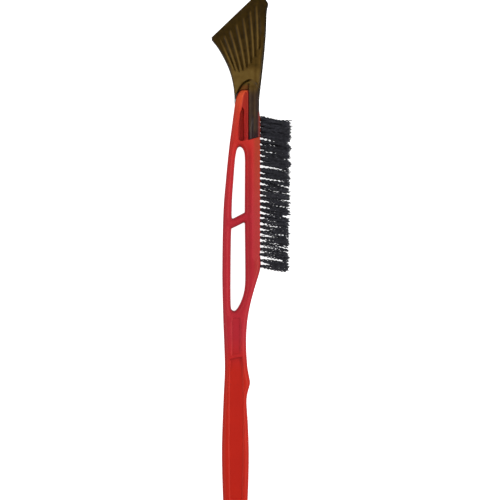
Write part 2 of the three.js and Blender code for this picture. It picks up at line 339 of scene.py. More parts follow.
def triangulate(loops, free):
    """Plan points and counter-clockwise triangles that fill a region and pass through its free points."""
    borders = []
    start = 0
    for loop in loops:
        count = len(loop)
        borders += [(start + i, start + (i + 1) % count) for i in range(count)]
        start += count
    points = np.vstack([*loops, free])
    flat, _, triangles, *_ = delaunay_2d_cdt([Vector(p) for p in points], borders, [], 0, 1e-3)
    plan = np.array([tuple(v) for v in flat])
    triangles = np.array(triangles)
    triangles = triangles[within(plan[triangles].mean(1), loops)]
    a, b, c = (plan[triangles[:, k]] for k in range(3))
    turn = (b[:, 0] - a[:, 0]) * (c[:, 1] - a[:, 1]) - (b[:, 1] - a[:, 1]) * (c[:, 0] - a[:, 0])
    triangles = np.where((turn > 0)[:, None], triangles, triangles[:, ::-1])[np.abs(turn) > 1e-7]
    used = np.unique(triangles)
    renumber = np.full(len(plan), -1)
    renumber[used] = np.arange(len(used))
    return plan[used], renumber[triangles]


def shell_of(loops, top, bottom, rings, extra):
    """Vertices and faces of a closed solid: a plan region between a top and a bottom height.

    loops[0] is the outline and the others are holes. rings are distances in from every loop at which the
    surface is sampled, and extra holds further plan points where it needs detail.
    """
    plan, triangles = triangulate(loops, surface_samples(loops, rings, extra))
    count = len(plan)
    upper = np.column_stack([plan, top(plan)])
    lower = np.column_stack([plan, bottom(plan)])
    edges = np.vstack([triangles[:, [0, 1]], triangles[:, [1, 2]], triangles[:, [2, 0]]])
    known = {tuple(e) for e in edges.tolist()}
    walls = [(i, i + count, j + count, j) for i, j in known if (j, i) not in known]
    faces = triangles.tolist() + (triangles[:, ::-1] + count).tolist() + walls
    return np.vstack([upper, lower]), faces


def prism(points, low_z, high_z):
    """Vertices and faces of a straight-sided solid."""
    count = len(points)
    vertices = [(x, y, z) for z in (low_z, high_z) for x, y in points]
    sides = [(i, (i + 1) % count, count + (i + 1) % count, count + i) for i in range(count)]
    return vertices, [tuple(range(count))[::-1], tuple(range(count, 2 * count)), *sides]


def join_shapes(shapes):
    """Several (vertices, faces) shapes as one."""
    vertices, faces = [], []
    for shape_vertices, shape_faces in shapes:
        start = len(vertices)
        vertices += [tuple(v) for v in shape_vertices]
        faces += [[start + i for i in face] for face in shape_faces]
    return vertices, faces


def on_both_faces(shape):
    """A shape and its mirror image about the middle plane."""
    vertices, faces = shape
    mirrored = [(x, y, -z) for x, y, z in vertices]
    return join_shapes([shape, (mirrored, [list(face)[::-1] for face in faces])])


def combine(piece, shape, operation):
    """Cuts a shape from a piece, or joins it on, and keeps the result as the piece's mesh."""
    tool = new_piece("tool", *shape, None)
    modifier = piece.modifiers.new("combine", "BOOLEAN")
    modifier.object = tool
    modifier.operation = operation
    modifier.solver = "EXACT"
    result = bpy.data.meshes.new_from_object(piece.evaluated_get(bpy.context.evaluated_depsgraph_get()))
    piece.modifiers.clear()
    piece.data = result
    bpy.data.objects.remove(tool)


def finish_shading(piece, angle):
    """Smooth shading, with a hard line where faces meet at more than an angle."""
    piece.data.shade_smooth()
    piece.data.set_sharp_from_angle(angle=math.radians(angle))


def paint(piece, name, values):
    """Stores one number for each vertex, for the material to read."""
    attribute = piece.data.attributes.new(name, "FLOAT", "POINT")
    attribute.data.foreach_set("value", np.asarray(values, np.float32))


def plan_of(piece):
    """Plan coordinates of a piece's vertices."""
    where = np.array([v.co for v in piece.data.vertices])
    return ((where - np.array(ORIGIN)) / MM)[:, :2]


# ---------- materials ----------


def linear(code):
    """A colour written as rrggbb, in linear light with full alpha."""
    parts = [int(code[i : i + 2], 16) / 255 for i in (0, 2, 4)]
    return tuple(p / 12.92 if p <= 0.04045 else ((p + 0.055) / 1.055) ** 2.4 for p in parts) + (1.0,)


def fill_ramp(node, stops):
    """Sets the stops of a colour ramp node."""
    elements = node.color_ramp.elements
    while len(elements) < len(stops):
        elements.new(0.5)
    for element, (position, colour) in zip(elements, stops):
        element.position = position
        element.color = colour


class Nodes:
    """A short way to build a material's nodes."""

    def __init__(self, name):
        """Starts a new material."""
        self.material = bpy.data.materials.new(name)
        self.material.use_nodes = True
        self.tree = self.material.node_tree
        self.shader = self.tree.nodes["Principled BSDF"]

    def add(self, kind, inputs=None, **settings):
        """A new node. An input is either another node's output or a number."""
        node = self.tree.nodes.new(kind)
        for key, value in settings.items():
            setattr(node, key, value)
        for key, value in (inputs or {}).items():
            if isinstance(value, bpy.types.NodeSocket):
                self.tree.links.new(value, node.inputs[key])
            else:
                node.inputs[key].default_value = value
        return node

    def link(self, output, socket):
        """Leads an output to one of the shader's own sockets."""
        self.tree.links.new(output, self.shader.inputs[socket])

    def set(self, **values):
        """Sets the shader's own sockets, with _ for a space in their names."""
        for key, value in values.items():
            self.shader.inputs[key.replace("_", " ")].default_value = value

    def noise(self, scale, detail=3.0, vector=None):
        """Noise from 0 to 1, fixed to the piece."""
        vector = vector or self.add("ShaderNodeTexCoord").outputs["Object"]
        inputs = {"Vector": vector, "Scale": scale, "Detail": detail}
        return self.add("ShaderNodeTexNoise", inputs).outputs["Fac"]

    def ramp(self, factor, stops):
        """A colour that follows a number, with stops as (number, rrggbb)."""
        node = self.add("ShaderNodeValToRGB", {"Fac": factor})
        fill_ramp(node, [(position, linear(code)) for position, code in stops])
        return node.outputs["Color"]

    def spread(self, factor, low, high):
        """A number from 0 to 1 spread over another range."""
        inputs = {"Value": factor, "To Min": low, "To Max": high}
        return self.add("ShaderNodeMapRange", inputs).outputs["Result"]

    def painted(self, name):
        """The numbers stored on the mesh under a name."""
        return self.add("ShaderNodeAttribute", attribute_name=name).outputs["Fac"]

    def mix(self, share, colour, other):
        """A colour with a share of another, written as rrggbb, mixed in."""
        node = self.add("ShaderNodeMix", data_type="RGBA")
        self.tree.links.new(share, node.inputs["Factor"])
        self.tree.links.new(colour, node.inputs["A"])
        node.inputs["B"].default_value = linear(other)
        return node.outputs["Result"]

    def bump(self, height, distance):
        """A fine surface texture. The distance is in metres."""
        node = self.add("ShaderNodeBump", {"Height": height, "Distance": distance, "Strength": 1.0})
        self.link(node.outputs["Normal"], "Normal")


def red_plastic():
    """Moulded red polypropylene, more orange towards both ends, with painted shade in its hollows and on
    the rail's bristle side.
    """
    nodes = Nodes("red_plastic")
    position = nodes.add("ShaderNodeTexCoord").outputs["Object"]
    along = nodes.add("ShaderNodeSeparateXYZ", {"Vector": position}).outputs["X"]
    from_butt = {"Value": along, "From Min": ORIGIN.x, "From Max": ORIGIN.x + TIP_X * MM}
    base = nodes.ramp(
        nodes.add("ShaderNodeMapRange", from_butt).outputs["Result"],
        [(0.0, "c4281a"), (0.34, "c2281c"), (0.42, "b82c38"), (0.7, "b72c39"),
         (0.86, "c42e2c"), (0.94, "cc3e2c"), (1.0, "de5a32")],
    )
    base = nodes.mix(nodes.spread(nodes.noise(55.0, 4.0), 0.0, 0.3), base, "901418")
    # Painted shade: the red is darkened in the sunk panels, in the gap beside the tongue and before the
    # rail's crest.
    base = nodes.mix(nodes.painted("painted_shade"), base, "921a1e")
    # Painted shade on the rail's bristle side beyond its crest, which also turns the red more orange.
    base = nodes.mix(nodes.painted("flank"), base, "843e1e")
    nodes.link(base, "Base Color")
    nodes.link(nodes.spread(nodes.noise(140.0), 0.32, 0.46), "Roughness")
    nodes.bump(nodes.noise(900.0, 2.0), 0.00004)
    nodes.set(Specular_IOR_Level=0.22, Specular_Tint=(1.0, 0.42, 0.3, 1.0))
    return nodes.material


def amber_plastic():
    """Smoky amber polycarbonate: a streaky tint with painted highlights and shade, and the handle's red
    showing through in places.
    """
    nodes = Nodes("amber_plastic")
    streaks = nodes.spread(nodes.noise(150.0, 6.0), -0.26, 0.26)
    # The streaky tint plus painted highlights and shade stored on the mesh.
    tone = nodes.add("ShaderNodeMath", {0: streaks, 1: nodes.painted("tint_and_painted_light")}, operation="ADD")
    tint = nodes.ramp(
        tone.outputs["Value"],
        [(0.0, "1e1506"), (0.3, "3b2b0b"), (0.65, "564019"), (1.0, "6a5428")],
    )
    tint = nodes.mix(nodes.painted("over_tip"), tint, "703a1a")
    tint = nodes.mix(nodes.painted("over_seat"), tint, "382a2c")
    tint = nodes.mix(nodes.painted("over_deep"), tint, "2a1014")
    tint = nodes.mix(nodes.painted("over_edge"), tint, "70302f")
    nodes.link(tint, "Base Color")
    nodes.link(nodes.spread(nodes.noise(160.0), 0.24, 0.36), "Roughness")
    nodes.bump(nodes.noise(420.0, 2.0), 0.00003)
    nodes.set(Specular_IOR_Level=0.1)
    return nodes.material


def black_filament():
    """Black polypropylene, uneven in tone from filament to filament."""
    nodes = Nodes("black_filament")
    nodes.link(nodes.ramp(nodes.noise(300.0), [(0.35, "1c1c22"), (0.7, "404049")]), "Base Color")
    nodes.link(nodes.spread(nodes.noise(500.0), 0.38, 0.55), "Roughness")
    return nodes.material


def plain_steel():
    """Flat steel wire, with a fine grain."""
    nodes = Nodes("plain_steel")
    position = nodes.add("ShaderNodeTexCoord").outputs["Object"]
    stretched = nodes.add("ShaderNodeMapping", {"Vector": position, "Scale": (1.0, 1.0, 8.0)})
    grain = nodes.noise(1500.0, 2.0, stretched.outputs["Vector"])
    nodes.link(nodes.ramp(grain, [(0.3, "8f8f8a"), (0.7, "b5b5b0")]), "Base Color")
    nodes.link(nodes.spread(grain, 0.25, 0.4), "Roughness")
    nodes.set(Metallic=1.0)
    return nodes.material


# ---------- tuft holes ----------


def bristle_direction():
    """The way the bristles point: out from the rail, tilted towards the grip."""
    return np.array([-math.sin(BRISTLE_TILT), -math.cos(BRISTLE_TILT), 0.0])


def tuft_bases(row):
    """Where the tufts of a row leave the rail's face."""
    x = FIRST_TUFT_X + row * TUFT_PITCH
    offsets = (np.arange(TUFTS_ACROSS) - (TUFTS_ACROSS - 1) / 2) * TUFT_SPACING_Z
    return [np.array([x, RAIL_FACE_Y, z]) for z in offsets]


def frame_along(direction):
    """Two unit vectors square to a direction and to each other."""
    side = np.cross(direction, [0.0, 0.0, 1.0])
    side /= np.linalg.norm(side)
    return side, np.cross(direction, side)


def round_bar(start, end, radius, sides):
    """A closed round bar between two points."""
    direction = (end - start) / np.linalg.norm(end - start)
    u, v = frame_along(direction)
    turn = np.linspace(0, 2 * math.pi, sides, endpoint=False)
    ring = radius * (np.cos(turn)[:, None] * u + np.sin(turn)[:, None] * v)
    vertices = np.vstack([start + ring, end + ring])
    faces = [[i, (i + 1) % sides, sides + (i + 1) % sides, sides + i] for i in range(sides)]
    return vertices, [list(range(sides))[::-1], list(range(sides, 2 * sides)), *faces]


# ---------- joint between handle and head ----------


def tongue_outline(clearance):
    """Corners of the tongue, or of its seat when a clearance is left round it."""
    left = TONGUE_LEFT_Y + clearance
    right = TONGUE_RIGHT_Y - clearance
    wall = SIDE_WALL_START_X - clearance
    return [
        (TONGUE_START_X - clearance, left),
        (TONGUE_END_X, left),
        (TONGUE_END_X, TONGUE_STEP_Y),
        (wall, TONGUE_STEP_Y),
        (wall, right),
        (TONGUE_SLANTED_X - clearance, right),
    ]


TONGUE_LOOP = closed_loop(np.array(tongue_outline(0)))


def tenon(clearance):
    """The handle's tenon, or the head's socket when a clearance is left round it."""
    low_y = TENON["low_y"] - clearance
    high_y = TENON["high_y"] + clearance
    end = TENON["to_x"] + clearance
    depth = TENON["half_depth"] + clearance
    outline = [(TENON["from_x"], low_y), (end, low_y), (end, high_y), (TENON["from_x"], high_y)]
    return prism(outline, -depth, depth)


# ---------- handle ----------

OUTER_LEFT = smooth_curve(
    [(0, 0), (1.4, 9), (6.5, 13.9), (17, 15.3), (79.6, 16.8), (141, 14.9), (181, 13.1), (213, 13.8),
     (249, 15.2), (307, 16.3), (379, 15), (424, 11.6), (462.5, 7.7), (493, 3.7), (519, 0.2), (527, -1.2),
     (532.4, -4), (535, -7.6), (TIP_X, -12)]
)
TIP_RIGHT = np.array(
    [(TIP_X, SIDE_WALL_INNER_Y + GAP), (SIDE_WALL_START_X - GAP, SIDE_WALL_INNER_Y + GAP),
     (SIDE_WALL_START_X - GAP, TONGUE_RIGHT_Y), (500, RAIL_FACE_Y)]
)
FINGER_BUMP = (164.4, -18.9)
OUTER_RIGHT = np.vstack(
    [
        smooth_curve(
            [(328, RAIL_FACE_Y), (318, -32.4), (310, -31.8), (302.5, -30), (287, -25.3), (272, -21.1),
             (257, -17.7), (238, -15), (213, -14), (187, -15.4), (174.2, -17.4), (168, -18.6), FINGER_BUMP]
        ),
        smooth_curve(
            [FINGER_BUMP, (160.5, -18), (155, -16.4), (148, -15), (137, -14.6), (110, -16.3), (80, -17.4),
             (48, -17.1), (17, -15.9), (6.5, -14.4), (1.4, -9.4), (0, 0)]
        ),
    ]
)
UPPER_WINDOW = [
    np.array([(382, -12)]),
    smooth_curve([(447, -12.4), (457, -11.6), (463, -9), (464.8, -5.8), (463.6, -3.4), (459, -1.6),
                  (447, 0.3), (424, 2.1), (402, 3.7), (386, 4.3), (376, 4.4), (373.8, 3.6), (374.2, 1.4)]),
    smooth_curve([(380.4, -10.4), (380.9, -11.4), (382, -12)]),
]
LOWER_WINDOW = [
    smooth_curve([(367, -12.2), (335, -12.5), (301, -12.7), (288, -12.3), (279.6, -11), (272, -8.8),
                  (264.4, -5.6), (258.4, -1.8), (256.4, 1.2), (257.6, 4), (262, 5.5), (285, 5.9),
                  (330, 5.6), (358, 5), (361, 3.8), (362.4, 1)]),
    smooth_curve([(367.8, -9.6), (368.2, -11.2), (367, -12.2)]),
]
HANG_LOOP = circle(**HANG_HOLE)
WINDOW_LOOPS = [closed_loop(*UPPER_WINDOW), closed_loop(*LOWER_WINDOW)]

# Sunk panels in both faces: outline, depth, width of the sloping wall, how much painted shade darkens
# them, and the stretch over which a fading one deepens.
SUNK_PANELS = [
    {"outline": [(533, -11.5), (527, -9.2), (514, -7.2), (497, -4.8), (474, -3), (470, -6), (470, -13),
                 (474, -16), (514, -16.4), (533, -16.4)],
     "depth": 1.5, "wall": 2.0, "painted_shade": 0.75, "fade": None},
    {"outline": [(513, -9.3), (507, -6), (497, -4.6), (486, -3.4), (477, -3), (472, -4), (470.4, -7),
                 (470.4, -10), (473, -12), (486, -11.9), (497, -11.4), (507, -11.6), (511, -11)],
     "depth": 4.4, "wall": 1.0, "painted_shade": 0.5, "fade": None},
    {"outline": [(249.5, 3.8), (249.5, -6.2), (245, -8.2), (204, -7.8), (202.4, -3), (200.5, 5),
                 (243, 5.4)],
     "depth": 1.5, "wall": 2.0, "painted_shade": 0.12, "fade": None},
    {"outline": [(196.5, 7.4), (198.4, 2), (199.6, -3), (200, -9.5), (186, -11), (140, -11.5), (140, 8.4)],
     "depth": 1.4, "wall": 1.6, "painted_shade": 0.6, "fade": (166, 200)},
    {"outline": [(195.5, 7.6), (172, 8.2), (90, 8.8), (20, 7.8), (14, -2), (20, -10.4), (90, -11.6),
                 (172, -11), (199, -9.6), (198.4, -3), (197.4, 2)],
     "depth": 1.2, "wall": 2.2, "painted_shade": 0.06, "fade": None},
]


def panel_depth(panel, plan):
    """0 outside a sunk panel, 1 on its floor."""
    deep = rise(depth_inside(plan, closed_loop(np.array(panel["outline"], float))), 0, panel["wall"])
    if panel["fade"]:
        deep = deep * rise(plan[:, 0], *panel["fade"])
    return deep


def handle_height(plan):
    """Height of the handle's face over the middle plane."""
    soft_edges = np.vstack([OUTER_RIGHT, OUTER_LEFT])
    rim = distance_to_line(plan, np.vstack([soft_edges, TIP_RIGHT[:2]]))
    flank = distance_to_line(plan, np.vstack([TIP_RIGHT[1:], OUTER_RIGHT[:1]]))
    window = np.min([distance_to_line(plan, loop, closed=True) for loop in WINDOW_LOOPS], axis=0)
    hang = distance_to_line(plan, HANG_LOOP, closed=True)
    flank_slope = FLANK_SLOPE["depth"] * (1 - np.clip(flank / FLANK_SLOPE["width"], 0, 1))
    flank_drop = rounded_drop(flank, **FLANK_ROUNDING) + flank_slope
    window_slope = WINDOW_SLOPE["depth"] * rise(window, WINDOW_SLOPE["width"], 0)
    z = HALF_DEPTH - np.maximum(flank_drop, rounded_drop(rim, **RIM_ROUNDING))
    z -= rounded_drop(window, **WINDOW_ROUNDING) + window_slope
    z -= rounded_drop(hang, **HANG_ROUNDING)
    for panel in SUNK_PANELS:
        z -= panel["depth"] * panel_depth(panel, plan)
    return z


def handle_painted_shades(plan):
    """Painted shade on the red: how much darker it is made in the sunk panels, beside the tongue and beside
    the rail's crest.
    """
    painted_shade = np.zeros(len(plan))
    for panel in SUNK_PANELS:
        painted_shade += (panel["painted_shade"] - painted_shade) * panel_depth(panel, plan)
    x, y = plan[:, 0], plan[:, 1]
    # Painted shade in the gap beside the tongue and in a shallow groove before the rail's crest.
    beside_tongue = rise(np.abs(y - TONGUE_LEFT_Y - 0.4), 1.26, 0.36) * (x > 472)
    beside_crest = 0.35 * rise(np.abs(y + 17.8), 2.86, 0.66) * rise(x, 295, 315) * rise(x, 462, 452)
    return np.max([painted_shade, beside_tongue, beside_crest], axis=0)


def handle_flank_shade(plan):
    """Painted shade: how much the red darkens, turning more orange, on the bristle side of the rail beyond
    its crest.
    """
    x, y = plan[:, 0], plan[:, 1]
    share = 0.2 + 0.34 * rise(x, 350, 500)
    return share * rise(y, RAIL_CREST_Y, RAIL_CREST_Y - 5) * rise(x, 285, 315)


def panel_samples(panel):
    """Plan points either side of a panel's wall, where the surface bends most."""
    loop = closed_loop(np.array(panel["outline"], float), step=1.2)
    inward = sideways(loop)
    if not inside(loop[:1] + inward[:1] * 0.5, loop)[0]:
        inward = -inward
    offsets = np.array([-0.5, 0.0, 0.2, 0.4, 0.6, 0.8, 1.0, 1.4]) * panel["wall"]
    return np.vstack([loop + inward * offset for offset in offsets])


def plan_grid(low, high, step):
    """A plan grid in staggered rows."""
    xs = np.arange(low[0], high[0], step)
    ys = np.arange(low[1], high[1], step * 0.87)
    grid_x, grid_y = np.meshgrid(xs, ys)
    grid_x = grid_x + (np.arange(len(ys)) % 2)[:, None] * step / 2
    return np.column_stack([grid_x.ravel(), grid_y.ravel()])


def make_handle():
    """The red moulding: grip, neck, brush frame, rail and tip in one."""
    outline = closed_loop(OUTER_LEFT, TIP_RIGHT, OUTER_RIGHT)
    loops = [outline, *WINDOW_LOOPS, HANG_LOOP]
    rings = [0.08, 0.3, 0.7, 1.3, 2.1, 3.1, 4.3, 5.6, 7.2, 9.2]
    extra = [panel_samples(panel) for panel in SUNK_PANELS] + [plan_grid((0, -33), (536, 17), 2.6)]
    shape = shell_of(loops, handle_height, lambda plan: -handle_height(plan), rings, extra)
    handle = new_piece("handle_moulding", *shape, RED)
    seats = on_both_faces(prism(tongue_outline(GAP)[::-1], TONGUE_INNER_Z - GAP, HALF_DEPTH + 3))
    combine(handle, seats, "DIFFERENCE")
    combine(handle, tenon(0), "UNION")
    outwards = bristle_direction() * HOLE_CUTTER_OUTSIDE
    inwards = -bristle_direction() * HOLE_DEPTH
    bases = [base for row in range(TUFT_ROWS) for base in tuft_bases(row)]
    holes = [round_bar(base + outwards, base + inwards, HOLE_RADIUS, sides=14) for base in bases]
    combine(handle, join_shapes(holes), "DIFFERENCE")
    plan = plan_of(handle)
    paint(handle, "painted_shade", handle_painted_shades(plan))
    paint(handle, "flank", handle_flank_shade(plan))
    finish_shading(handle, 40)
    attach(handle, "root")
    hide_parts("handle")


# ---------- scraper head ----------

EDGE_ALONG = (EDGE_RIGHT - EDGE_LEFT) / np.linalg.norm(EDGE_RIGHT - EDGE_LEFT)
EDGE_INWARD = np.array([EDGE_ALONG[1], -EDGE_ALONG[0]])
LEFT_FLANK = smooth_curve(
    [(519, 0.8), (528.6, 1), (543.8, 2.7), (559, 6.3), (574.3, 12.8), (589.5, 21.5), (598.4, 28.5),
     (600.6, 29.9), (602.2, 29.6)]
)
RIGHT_FLANK = smooth_curve(
    [(LENGTH - 0.3, -31.6), (658.6, -33.8), (648.5, -40.6), (645.8, -41.9), (643, -41.6), (635, -40.1),
     (609, -39.1), (585.7, -37.3), (559, -34.5), (528.6, -31), (518, -30.5), (SIDE_WALL_START_X, -30.4)]
)
SOCKET_EDGE = smooth_curve([(TIP_X + GAP, -12), (535.3, -7.2), (532.8, -3.3), (528.4, -0.3), (519, 0.8)])
ARCH = smooth_curve(
    [(519, 0.5), (527, -0.5), (531.6, -1.9), (538.6, -5.4), (544.4, -10.3), (547.9, -16.6), (547.9, -22.3),
     (544.5, -27.2), (541, -28.6), (533, -29)]
)


def parabola(y, x, middle_y, curve):
    """X along a curve across the head, at a distance across."""
    return x + curve * (y - middle_y) ** 2


def rib_line(index):
    """The centreline of one rib, from the collar out towards the cutting edge."""
    start_y = FIRST_RIB_Y - RIB_PITCH_Y * index
    start = np.array([parabola(start_y, **COLLAR_END), start_y])
    turn = ((RIB_COUNT - 1 - index) / (RIB_COUNT - 1)) ** RIB_FAN_POWER
    angle = math.radians(LAST_RIB_ANGLE + RIB_FAN_ANGLE * turn)
    heading = np.array([math.cos(angle), math.sin(angle)])
    middle = start + RIB_MIDDLE * heading + RIB_BOW
    end = start + RIB_LENGTH * heading
    t = np.linspace(RIB_ROOT, 1, 16)[:, None]
    return start * (1 - t) ** 2 + middle * 2 * t * (1 - t) + end * t**2


RIB_LINES = [rib_line(index) for index in range(RIB_COUNT)]
BORDER_LINE = smooth_curve([(586, -32), (574, -31), (558, -29.6)])
MOUTH = closed_loop(np.vstack([ARCH, [(500, -29), (500, 0.5)]]))


def from_cutting_edge(plan):
    """Distance back from the cutting edge."""
    return (plan - EDGE_LEFT) @ EDGE_INWARD


def rib_distance(plan):
    """Distance to the nearest rib's centreline."""
    return np.min([distance_to_line(plan, line) for line in RIB_LINES], axis=0)


def flute_reach(plan):
    """1 where the hollows between the ribs have their full depth, 0 where there are none."""
    scallop = 4.5 - 2.2 * np.clip(rib_distance(plan), 0, 2.7)
    flute_end = parabola(plan[:, 1], **FLUTE_END) + scallop
    first, last = RIB_LINES[0], RIB_LINES[-1]
    left_of_fan = plan[:, 1] - np.interp(plan[:, 0], first[:, 0], first[:, 1])
    right_of_fan = np.interp(plan[:, 0], last[:, 0], last[:, 1]) - plan[:, 1]
    within_fan = 1 - 0.8 * rise(np.maximum(left_of_fan, right_of_fan - 3.5), 0, 1)
    past_collar = rise(plan[:, 0] - flute_end, 0, 2.6)
    past_land = rise(from_cutting_edge(plan), LAND_WIDTH, LAND_WIDTH + 5)
    return within_fan * past_collar * past_land * rise(plan[:, 0], 652, 642)


def arch_crispness(plan):
    """1 along the left of the arch, where it is a sharp step, and 0 on the right, where it fades away."""
    return rise(plan[:, 1], -23, -16)


def head_height(plan):
    """Height of the head's face over the middle plane."""
    from_edge = from_cutting_edge(plan)
    wedge = [EDGE_HALF_DEPTH, LAND_HALF_DEPTH, COLLAR_HALF_DEPTH]
    thick = np.interp(from_edge, [0, LAND_WIDTH, WEDGE_LENGTH], wedge)
    depth = FLUTE_DEPTH + FLUTE_DEEPENING * np.clip(from_edge - LAND_WIDTH, 0, 60)
    flute = depth * rise(rib_distance(plan), RIB_CREST, RIB_FOOT) * flute_reach(plan)
    left = rounded_drop(distance_to_line(plan, LEFT_FLANK), **LEFT_ROUNDING)
    right = rounded_drop(distance_to_line(plan, RIGHT_FLANK), **RIGHT_ROUNDING)
    z = (thick - flute) * np.clip(1 - left - right, 0.2, 1)
    into_mouth = depth_inside(plan, MOUTH)
    crisp = arch_crispness(plan)
    step = rise(into_mouth, 0, 1.0 + 4 * (1 - crisp))
    moat = rise(into_mouth, 0, 0.8) * rise(into_mouth, 2.4, 1.2) * crisp
    return np.maximum(z * (1 - step) + NECK_HALF_DEPTH * step - MOAT_DEPTH * moat, THINNEST)


def head_tint_and_painted_light(plan):
    """Tint with painted light: painted highlights on the rib crests, a pale collar and border line, a dark
    land, and painted shade in the hollows, along the arch, beside the tongue and on the flanks.
    """
    x, y = plan[:, 0], plan[:, 1]
    from_edge = from_cutting_edge(plan)
    field = 0.22 + 0.3 * rise(from_edge, 20, 60)
    tone_and_light = field + (0.9 - field) * rise(x, 566, 557)
    # Painted highlight along the rib crests.
    crest = rise(rib_distance(plan), 2.1, 0.4) * rise(from_edge, LAND_WIDTH + 1, LAND_WIDTH + 6)
    crest *= rise(x, 654, 638) * rise(x - parabola(y, **COLLAR_END), -6, -2)
    crest_highlight = 0.62 + 0.38 * rise(from_edge, 12, 37)
    border = 0.75 * rise(distance_to_line(plan, BORDER_LINE), 2.0, 0.4)
    tone_and_light = np.max([tone_and_light, crest * crest_highlight, border], axis=0)
    into_mouth = depth_inside(plan, MOUTH)
    neck = 0.82 - 0.5 * rise(y, -24.5, -28.5)
    tone_and_light = np.where(into_mouth > 0, neck, tone_and_light)
    # Painted shadow along the foot of the arch.
    tone_and_light *= 1 - arch_crispness(plan) * rise(np.abs(into_mouth - 0.9), 1.5, 0)
    # Painted shade in the gap beside the tongue.
    beside_tongue = np.abs(y - TONGUE_LEFT_Y) < 1.1
    tone_and_light = np.where(beside_tongue & (x < TONGUE_END_X), 0.1, tone_and_light)
    tone_and_light *= 1 - 0.3 * bell(y + 25.8, 1.5) * rise(x, 582, 570)
    # Painted shade on the rounded flanks.
    right = distance_to_line(plan, RIGHT_FLANK)
    tone_and_light *= rise(right, 0.8, 3.2) * (0.6 + 0.4 * rise(right, 0, 6.5))
    return tone_and_light * (0.35 + 0.65 * rise(distance_to_line(plan, LEFT_FLANK), 0, 1.6))


def tongue_height(plan):
    """Outer face of the tongue: two raised lines with a groove between them."""
    x, y = plan[:, 0], plan[:, 1]
    ridge = sum(bell(y - line, 1.1) for line in TONGUE_LINES_Y)
    width = 0.5 + 1.0 * rise(x, TONGUE_GROOVE_TOP_X, TONGUE_GROOVE_TOP_X - 26)
    groove = bell(y - TONGUE_GROOVE_Y, width) * rise(x, TONGUE_GROOVE_TOP_X, TONGUE_GROOVE_TOP_X - 12)
    rim = rounded_drop(distance_to_line(plan, TONGUE_LOOP, closed=True), **TONGUE_RIM)
    top_drop = TONGUE_TOP_DROP * rise(x, TIP_X, TONGUE_TOP_X)
    return TONGUE_BASE_Z + TONGUE_RIDGE_HEIGHT * ridge - TONGUE_GROOVE_DEPTH * groove - rim - top_drop


def tongue_floor(plan):
    """Inner face of the tongue, which runs deeper into the collar past the end of the handle."""
    return np.where(plan[:, 0] > TIP_X + GAP, NECK_HALF_DEPTH - 1.5, TONGUE_INNER_Z)


def tongue_tint_and_painted_light(plan):
    """Tint with painted light on the tongue: painted highlights on its raised lines, painted shade in its
    groove, on its rim and at its lower end.
    """
    x, y = plan[:, 0], plan[:, 1]
    ridge = sum(bell(y - line, 0.9) for line in TONGUE_LINES_Y)
    groove = bell(y - TONGUE_GROOVE_Y, 1.7) * rise(x, TONGUE_GROOVE_TOP_X, TONGUE_GROOVE_TOP_X - 8)
    rim = distance_to_line(plan, TONGUE_LOOP, closed=True)
    body = 0.3 + 0.34 * ridge - 0.3 * groove
    body *= 1 - 0.35 * rise(y, -24.8, -26.8)
    body += (0.75 - body) * rise(x, 525, TONGUE_TOP_X)
    return body * rise(rim, 0.1, 1.0) * rise(x, 476, 484)


def paint_head(head):
    """The head's tint with painted highlights and shade, and how much of the handle shows through it.

    It shows over the handle's tip and over the tongue's seat, and most of all at the tongue's lower end and
    at its edge below the side wall.
    """
    plan = plan_of(head)
    x, y = plan[:, 0], plan[:, 1]
    on_tongue = (depth_inside(plan, TONGUE_LOOP) > -0.05) & (x < TONGUE_TOP_X)
    in_mouth = depth_inside(plan, MOUTH) > 1.5
    over_tip = ~on_tongue & in_mouth & (y > TONGUE_LEFT_Y)
    below_side_wall = rise(x, SIDE_WALL_START_X, SIDE_WALL_START_X - 3)
    # Tint with painted highlights and shade, on the tongue and on the rest of the head.
    paint(head, "tint_and_painted_light", np.where(on_tongue, tongue_tint_and_painted_light(plan), head_tint_and_painted_light(plan)))
    paint(head, "over_tip", over_tip * 0.6 * rise(x, 542.5, 539.5))
    paint(head, "over_seat", on_tongue * 0.5 * rise(x, 540, 526))
    paint(head, "over_deep", on_tongue * 0.7 * rise(x, 487, 478))
    paint(head, "over_edge", on_tongue * 0.9 * rise(y, -28.2, TONGUE_STEP_Y) * below_side_wall)


def make_head():
    """The amber moulding: blade, collar, socket and a tongue down each face of the handle."""
    blade_edge = np.array([EDGE_LEFT + EDGE_ALONG * EDGE_CORNER, EDGE_RIGHT])
    outline = closed_loop(
        LEFT_FLANK, blade_edge, RIGHT_FLANK, np.array([(SIDE_WALL_START_X, SIDE_WALL_INNER_Y)]),
        np.array([(TIP_X + GAP, SIDE_WALL_INNER_Y)]), SOCKET_EDGE,
    )
    rings = [0.08, 0.3, 0.6, 1.0, 1.6, 2.4, 3.4, 4.4]
    offsets = (-2.4, -1.8, -1.2, -0.8, -0.4, 0, 0.4, 0.8, 1.2, 1.8, 2.4)
    fan = [smooth_curve(line + np.array([[0, offset]]), 1.4) for line in RIB_LINES for offset in offsets]
    across_arch = (-3.4, -2.6, -2.0, -1.4, -0.9, -0.5, -0.2, 0, 0.4)
    arch = [ARCH + np.array([[offset, 0]]) for offset in across_arch]
    extra = [*fan, *arch, plan_grid((505, -43), (661, 32), 1.6)]
    shape = shell_of([outline], head_height, lambda plan: -head_height(plan), rings, extra)
    head = new_piece("head_moulding", *shape, AMBER)
    tongue = shell_of(
        [TONGUE_LOOP], tongue_height, tongue_floor, [0.1, 0.35, 0.8, 1.3],
        [plan_grid((472, -31), (TONGUE_END_X, -16), 0.75)],
    )
    combine(head, on_both_faces(tongue), "UNION")
    combine(head, tenon(GAP), "DIFFERENCE")
    paint_head(head)
    finish_shading(head, 40)
    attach(head, "root")
    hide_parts("scraper_head")


# ---------- bristles ----------


